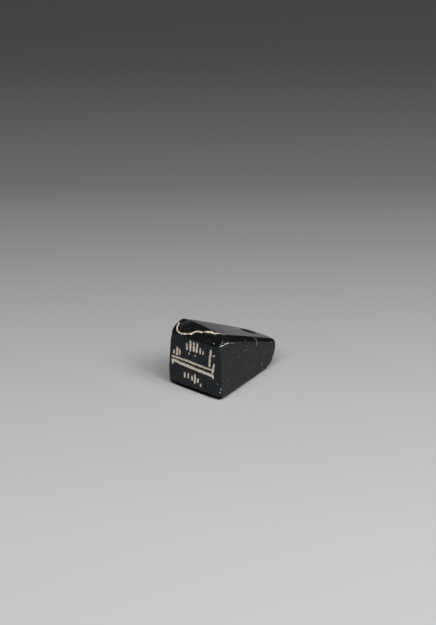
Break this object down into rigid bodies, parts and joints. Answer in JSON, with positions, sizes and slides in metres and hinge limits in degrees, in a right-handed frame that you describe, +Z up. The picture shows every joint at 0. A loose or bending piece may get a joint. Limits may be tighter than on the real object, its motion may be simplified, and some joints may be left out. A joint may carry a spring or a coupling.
{
  "type": "inscribed stone seal",
  "caption": "Small black stone seal that tapers from an inscribed face to a rounded end pierced for a cord, lying on its side.",
  "frame": {"origin": "on the flat underside that the seal lies on, at the middle of the seal's outline seen from above", "axes": "+Z up as the seal lies, +Y from the inscribed face towards the pierced end, +X to the right as the inscribed face is seen from in front"},
  "size_m": [0.0134, 0.0203, 0.0128],
  "materials": {
    "black_stone": "polished"
  },
  "bodies": {
    "root": {"seal": "black_stone"}
  },
  "joints": []
}
